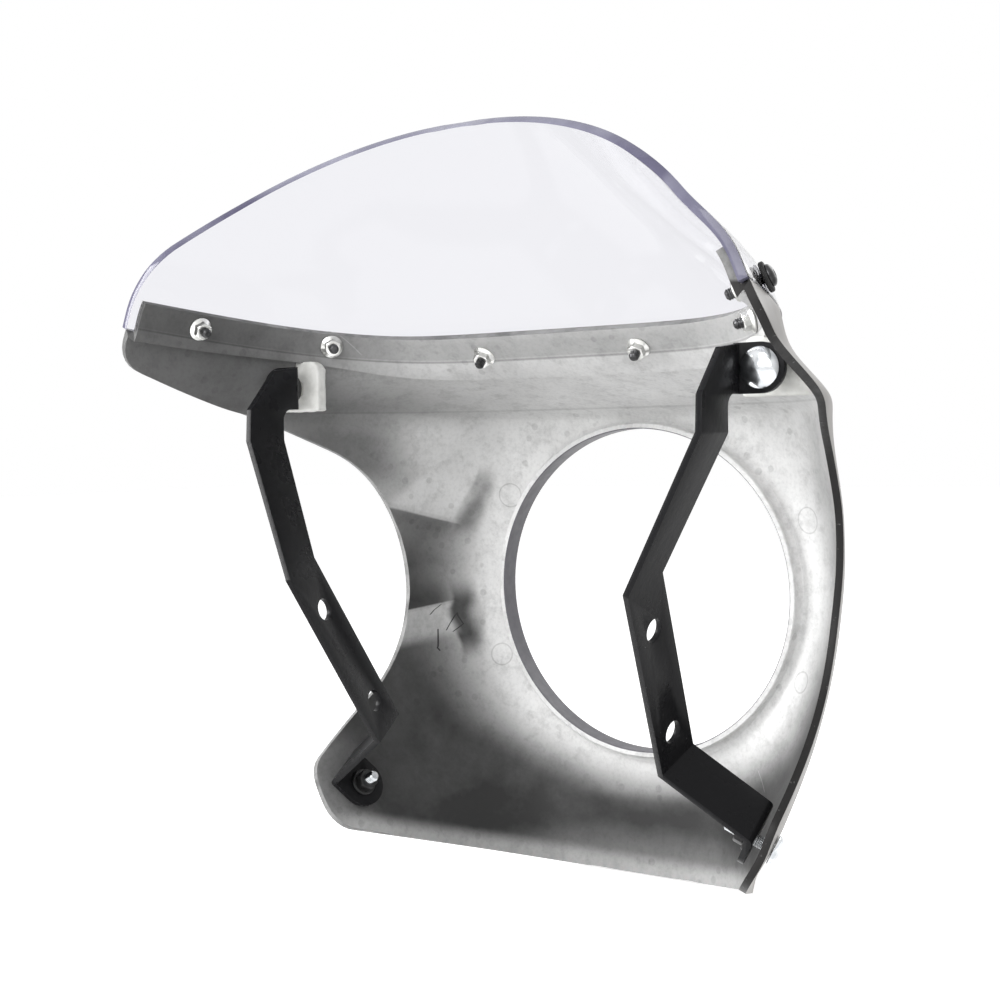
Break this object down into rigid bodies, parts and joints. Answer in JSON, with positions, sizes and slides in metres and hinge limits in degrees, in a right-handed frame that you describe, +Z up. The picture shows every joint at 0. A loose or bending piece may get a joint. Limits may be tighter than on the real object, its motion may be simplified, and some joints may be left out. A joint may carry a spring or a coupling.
{
  "type": "headlight cowl",
  "caption": "Thin moulded motorbike headlight cowl with a clear screen, a round lamp opening and folded fork brackets.",
  "frame": {"origin": "centre of the lamp opening, level with the rear edge of its lip", "axes": "+X to the rider's left, +Y to the rear along the lamp's axis, +Z up"},
  "size_m": [0.3476, 0.2283, 0.389],
  "materials": {
    "shell": "moulded, silver inside",
    "screen": "clear moulded plastic",
    "bracket": "gloss black",
    "black_steel": "black oxide",
    "zinc": "zinc plated",
    "bright_steel": "polished",
    "rubber": "matte",
    "resin": "white resin"
  },
  "bodies": {
    "root": {"cowl_shell": "shell", "windscreen": "screen", "left_bracket": "bracket", "left_mount_pad": "resin", "left_screen_screws": "black_steel", "left_screen_washers": "rubber", "left_screen_nuts": "zinc", "left_upper_bolt": "bright_steel", "left_upper_spacer": "rubber", "left_upper_nut": "zinc", "left_lower_bolt": "zinc", "left_lower_washer": "black_steel", "left_lower_nut": "black_steel", "right_bracket": "bracket", "right_mount_pad": "resin", "right_screen_screws": "black_steel", "right_screen_washers": "rubber", "right_screen_nuts": "zinc", "right_upper_bolt": "bright_steel", "right_upper_spacer": "rubber", "right_upper_nut": "zinc", "right_lower_bolt": "zinc", "right_lower_washer": "black_steel", "right_lower_nut": "black_steel"}
  },
  "joints": []
}
